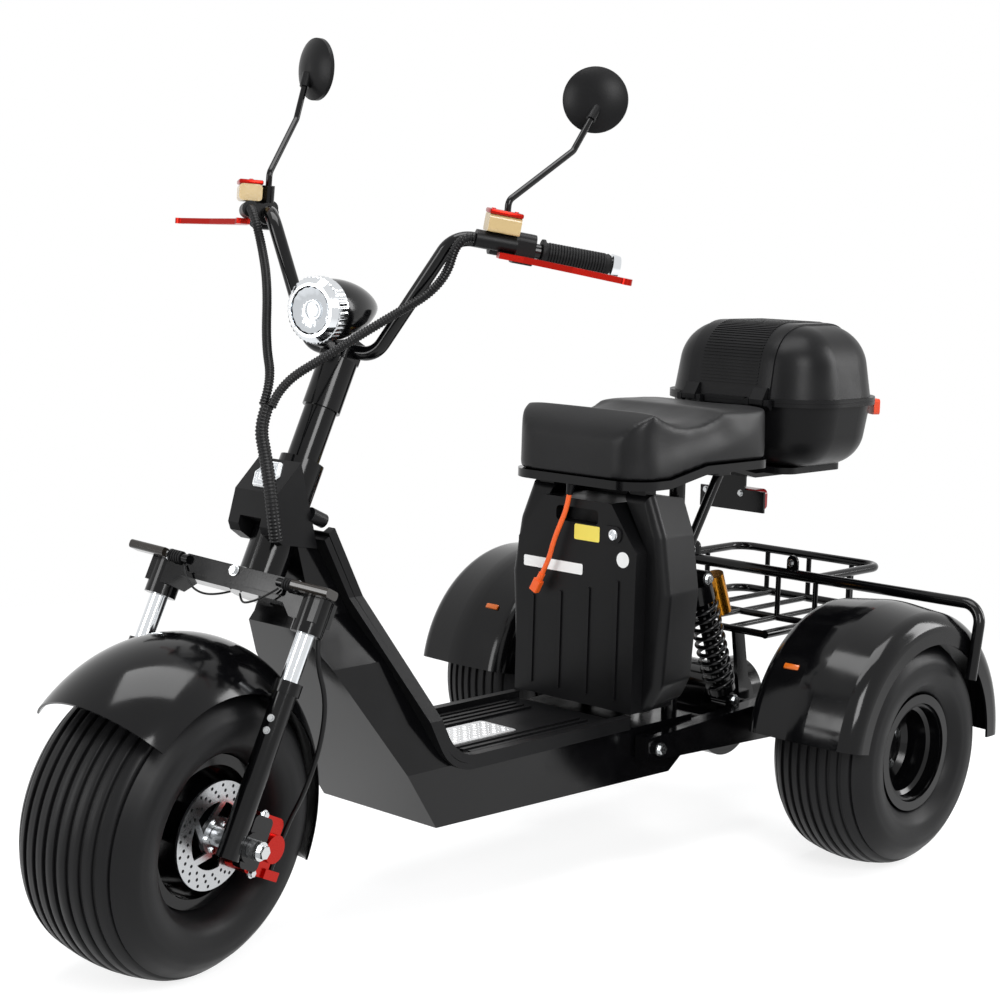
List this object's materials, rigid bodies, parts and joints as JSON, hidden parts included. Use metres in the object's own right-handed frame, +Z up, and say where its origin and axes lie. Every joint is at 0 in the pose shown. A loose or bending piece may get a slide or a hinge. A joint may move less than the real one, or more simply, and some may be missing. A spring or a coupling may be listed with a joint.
{
  "type": "electric three-wheeled scooter",
  "caption": "Fat-tyred electric trike scooter with a step-through frame, high handlebar, rear rack and top case",
  "frame": {"origin": "on the ground under the middle of the overall box", "axes": "+X forward, +Y to the rider's left, +Z up"},
  "size_m": [1.8146, 1.0486, 1.3762],
  "materials": {
    "gloss_black": "gloss",
    "matte_black": "matte",
    "seat_leather": "satin",
    "cable_black": "satin",
    "lamp_white": "gloss",
    "tyre_black": "matte",
    "rim_black": "gloss",
    "bright_steel": "brushed",
    "chrome": "polished",
    "grip_rubber": "matte",
    "brake_red": "gloss",
    "latch_red": "gloss",
    "lamp_red": "gloss",
    "shock_black": "gloss",
    "shock_gold": "satin",
    "lead_orange": "satin",
    "fluid_amber": "gloss"
  },
  "bodies": {
    "chassis": {"main_frame": "gloss_black", "neck_shroud": "matte_black", "neck_lamp": "lamp_white", "cable_trunk": "cable_black", "inner_panel": "matte_black", "tread_plate": "bright_steel", "battery": "matte_black", "pillar_cover": "matte_black", "seat_base": "gloss_black", "seat_cushion": "seat_leather", "seat_struts": "gloss_black", "case_carrier": "gloss_black", "case_base": "matte_black", "case_tub": "matte_black", "case_hinges": "matte_black", "case_latch": "latch_red", "tail_bracket": "gloss_black", "tail_lamp": "lamp_red", "swing_frame": "gloss_black", "rear_axle": "gloss_black", "shock_bodies": "shock_black", "shock_springs": "shock_black", "shock_reservoirs": "shock_gold", "rear_fenders": "gloss_black", "rear_rack": "gloss_black", "charge_lead": "lead_orange", "lead_gland": "matte_black", "charge_plug": "lead_orange"},
    "steering": {"front_axle": "bright_steel", "fork_lowers": "gloss_black", "fork_stanchions": "chrome", "fork_yoke": "gloss_black", "steering_column": "gloss_black", "front_fender": "gloss_black", "brake_caliper": "brake_red", "signal_bar": "gloss_black", "turn_signals": "matte_black", "handlebar": "gloss_black", "bar_clamp": "gloss_black", "headlamp_shell": "gloss_black", "headlamp_ring": "chrome", "grips": "grip_rubber", "bar_ends": "chrome", "switch_housings": "matte_black", "master_cylinders": "matte_black", "fluid_reservoirs": "fluid_amber", "brake_levers": "brake_red", "mirror_stalks": "gloss_black", "mirror_heads": "matte_black", "bar_cables": "cable_black"},
    "front_wheel": {"front_tyre": "tyre_black", "front_rim": "rim_black", "brake_disc": "bright_steel"},
    "rear_wheel_left": {"rear_tyre_left": "tyre_black", "rear_rim_left": "rim_black"},
    "rear_wheel_right": {"rear_tyre_right": "tyre_black", "rear_rim_right": "rim_black"},
    "lid": {"case_lid": "matte_black", "lid_knuckles": "matte_black"}
  },
  "joints": [
    {"name": "steering_turn", "type": "hinge", "parent": "chassis", "child": "steering", "pos_m": [0.66912, 0, 0.21893], "axis": [-0.4226, 0, 0.9063], "range_deg": [-46, 24]},
    {"name": "front_wheel_spin", "type": "hinge", "parent": "steering", "child": "front_wheel", "pos_m": [0.6798, 0.00229, 0.22391], "axis": [-0.1729, 0.9816, -0.0806], "continuous": true},
    {"name": "rear_wheel_left_spin", "type": "hinge", "parent": "chassis", "child": "rear_wheel_left", "pos_m": [-0.553, 0.395, 0.205], "axis": [0, 1, 0], "continuous": true},
    {"name": "rear_wheel_right_spin", "type": "hinge", "parent": "chassis", "child": "rear_wheel_right", "pos_m": [-0.553, -0.395, 0.205], "axis": [0, 1, 0], "continuous": true},
    {"name": "case_lid_open", "type": "hinge", "parent": "chassis", "child": "lid", "pos_m": [-0.599, 0, 0.776], "axis": [0, 1, 0], "range_deg": [0, 65]}
  ]
}
